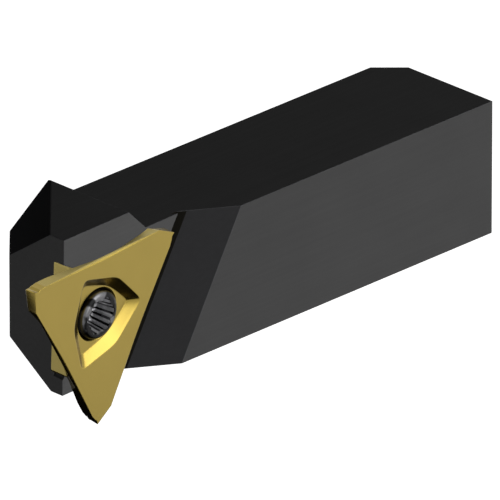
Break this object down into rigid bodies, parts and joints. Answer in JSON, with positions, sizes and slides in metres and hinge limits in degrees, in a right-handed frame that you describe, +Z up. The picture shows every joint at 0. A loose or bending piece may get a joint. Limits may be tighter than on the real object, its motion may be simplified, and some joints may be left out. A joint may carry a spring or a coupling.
{
  "type": "grooving and turning tool holder",
  "caption": "Square-shank lathe tool holder with a raised head and a screw-clamped three-cornered grooving insert.",
  "frame": {"origin": "on the shank's bottom face, in the middle of its width and 20 mm from its back end", "axes": "+X forward along the shank to the cutting edge, +Y to the side that carries the insert, +Z up"},
  "size_m": [0.0713, 0.0163, 0.0224],
  "materials": {
    "blackened_steel": "black oxide on ground steel, satin",
    "coated_carbide": "gold nitride coating on carbide, satin",
    "screw_steel": "black steel, half gloss"
  },
  "bodies": {
    "root": {"holder": "blackened_steel", "insert": "coated_carbide", "insert_screw": "screw_steel"}
  },
  "joints": []
}
